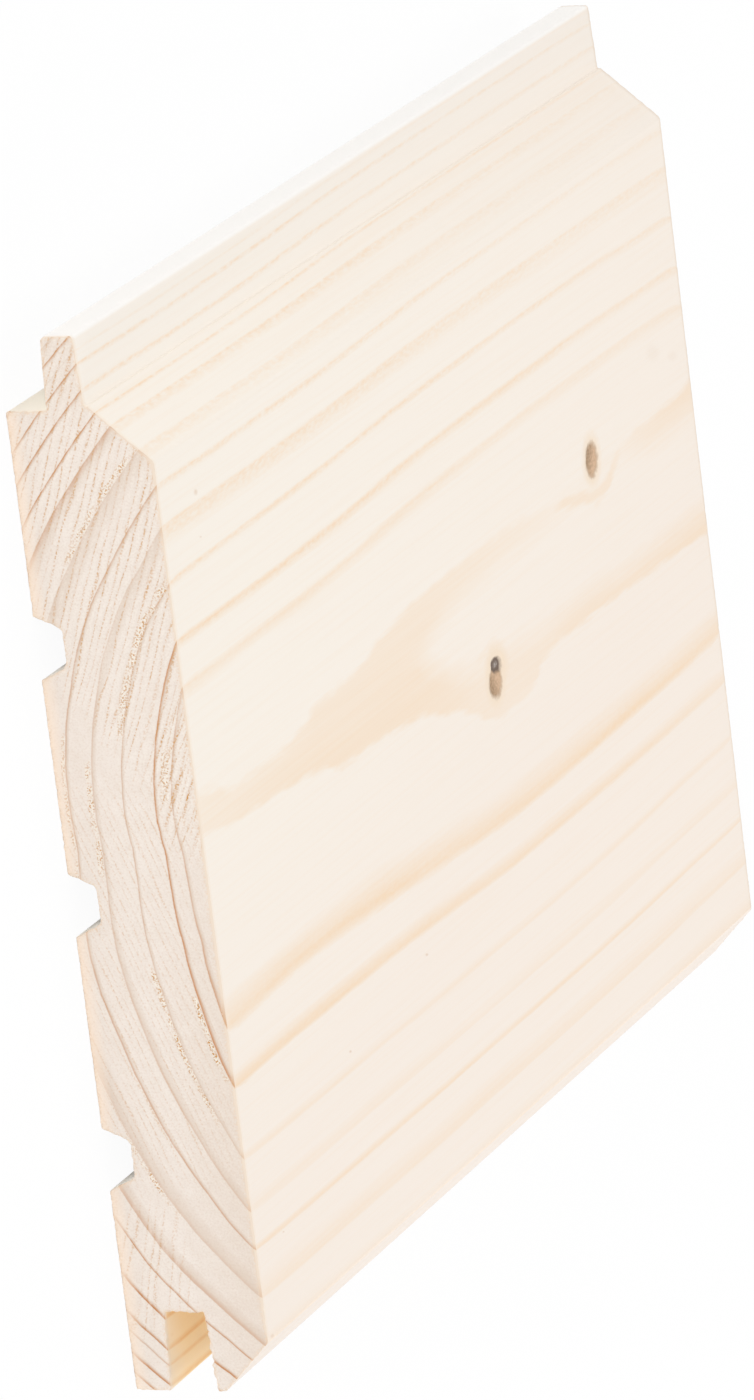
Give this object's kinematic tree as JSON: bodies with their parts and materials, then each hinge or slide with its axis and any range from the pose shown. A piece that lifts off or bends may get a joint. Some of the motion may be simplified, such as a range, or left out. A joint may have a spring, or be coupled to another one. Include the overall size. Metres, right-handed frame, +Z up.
{
  "type": "tongue and groove board",
  "caption": "Planed softwood lining board with a tongue along one edge, a groove along the other, bevelled face edges and shallow relief grooves in its back.",
  "frame": {"origin": "middle of the board's footprint, on the surface that its back lies on", "axes": "+X along the grain, +Y across the width towards the tongue, +Z up out of the good face"},
  "size_m": [0.19, 0.145, 0.02],
  "materials": {
    "spruce": "planed and sawn, untreated"
  },
  "bodies": {
    "root": {"board": "spruce"}
  },
  "joints": []
}
